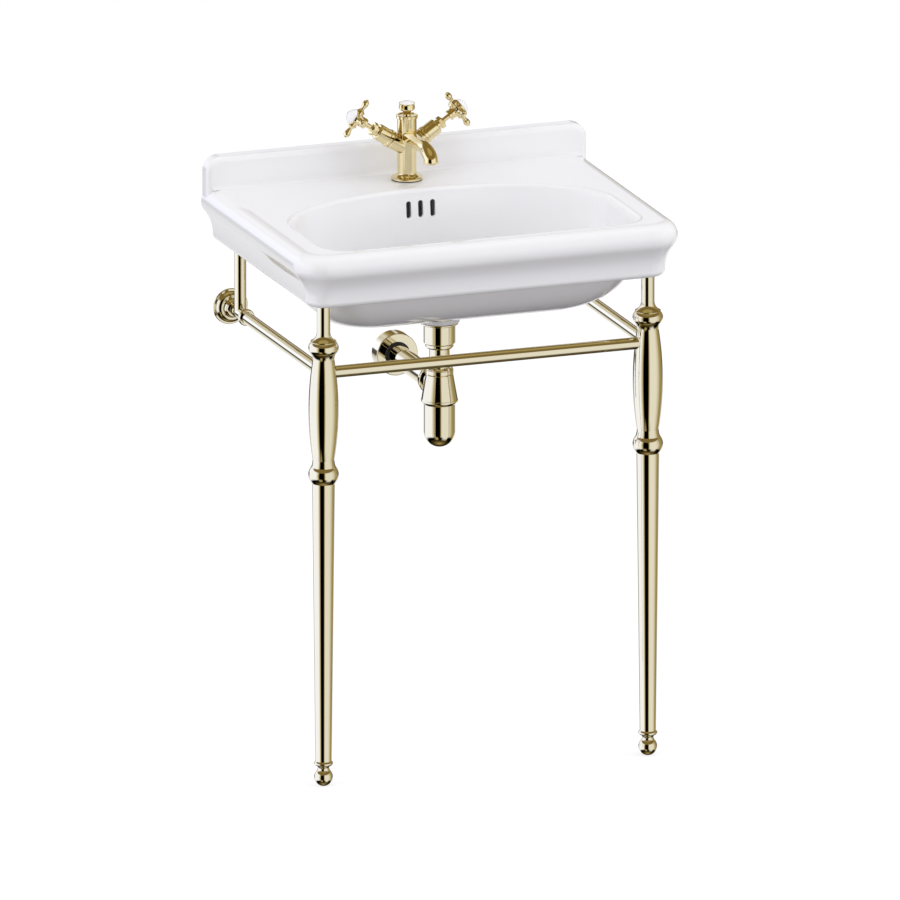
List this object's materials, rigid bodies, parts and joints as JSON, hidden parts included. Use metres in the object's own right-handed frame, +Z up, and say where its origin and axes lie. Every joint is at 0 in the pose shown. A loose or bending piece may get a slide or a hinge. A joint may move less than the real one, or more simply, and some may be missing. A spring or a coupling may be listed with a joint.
{
  "type": "console washbasin on legs",
  "caption": "Console washbasin with an upstand, on two turned legs with rails to the wall, a cross-handle mixer tap, a pop-up waste and a bottle trap.",
  "frame": {"origin": "on the floor, midway between the legs and midway between the wall and the front rim", "axes": "+Z up, +Y towards the wall, -Y the side the user stands on, +X to the right as seen from the front"},
  "size_m": [0.65, 0.485, 1.0224],
  "materials": {
    "china": "gloss white glaze",
    "gold": "polished, pale gold plated",
    "gold_hidden": "turned, unpolished",
    "index_china": "gloss white glaze",
    "rubber": "matt black",
    "steel": "plain zinc-plated",
    "plastic": "moulded"
  },
  "bodies": {
    "stand_and_basin": {"basin": "china", "front_left_baluster": "gold", "front_left_leg": "gold", "front_left_foot": "gold", "rear_left_post": "gold", "rear_left_tee": "gold", "rear_left_flange": "gold", "left_rail": "gold", "front_right_baluster": "gold", "front_right_leg": "gold", "front_right_foot": "gold", "rear_right_post": "gold", "rear_right_tee": "gold", "rear_right_flange": "gold", "right_rail": "gold", "front_rail": "gold", "wall_plates": "steel", "rail_grub_screws": "steel", "levelling_screws": "steel", "support_pads": "rubber", "tap_base_gasket": "rubber", "tap_rubber_washer": "rubber", "waste_seals": "rubber", "outlet_ring": "rubber", "tap_body": "gold", "tap_aerator": "plastic", "tap_stud": "steel", "tap_horseshoe_washer": "steel", "tap_clamp_nut": "gold_hidden", "hot_bonnet": "gold", "hot_gland_nut": "gold", "hot_cartridge": "gold_hidden", "cold_bonnet": "gold", "cold_gland_nut": "gold", "cold_cartridge": "gold_hidden", "pivot_nut": "gold", "waste_body": "gold", "waste_backnut": "gold", "waste_shroud": "gold", "tailpipe": "gold", "trap_inlet_nut": "gold", "trap_body": "gold", "trap_cup": "gold", "trap_outlet_nut": "gold", "outlet_pipe": "gold", "outlet_flange": "gold"},
    "hot_valve": {"hot_spindle": "gold_hidden", "hot_handle": "gold", "hot_index": "index_china"},
    "cold_valve": {"cold_spindle": "gold_hidden", "cold_handle": "gold", "cold_index": "index_china"},
    "lift_rod_set": {"lift_rod": "gold", "lift_knob": "gold", "lift_knob_index": "index_china", "lift_strap": "steel", "strap_screw": "steel"},
    "pivot_lever": {"pivot_rod": "gold"},
    "plug": {"popup_plug": "gold", "popup_plug_seal": "rubber"}
  },
  "joints": [
    {"name": "hot_handle_turn", "type": "hinge", "parent": "stand_and_basin", "child": "hot_valve", "pos_m": [0, 0.1735, 0.9346], "axis": [-0.829, 0, 0.5592], "range_deg": [0, 90]},
    {"name": "cold_handle_turn", "type": "hinge", "parent": "stand_and_basin", "child": "cold_valve", "pos_m": [0, 0.1735, 0.9346], "axis": [0.829, 0, 0.5592], "range_deg": [-90, 0]},
    {"name": "lift_knob_slide", "type": "slide", "parent": "stand_and_basin", "child": "lift_rod_set", "axis": [0, 0, 1], "range_m": [0, 0.022]},
    {"name": "pivot_lever_rock", "type": "hinge", "parent": "stand_and_basin", "child": "pivot_lever", "pos_m": [0, 0.0615, 0.672], "axis": [1, 0, 0], "range_deg": [0, 10.91]},
    {"name": "plug_drop", "type": "slide", "parent": "stand_and_basin", "child": "plug", "axis": [0, 0, 1], "range_m": [-0.00762, 0]}
  ],
  "couplings": [
    {"joint": "pivot_lever_rock", "follows": "lift_knob_slide", "rad_per_m": 8.6502},
    {"joint": "plug_drop", "follows": "lift_knob_slide", "ratio": -0.34601}
  ]
}
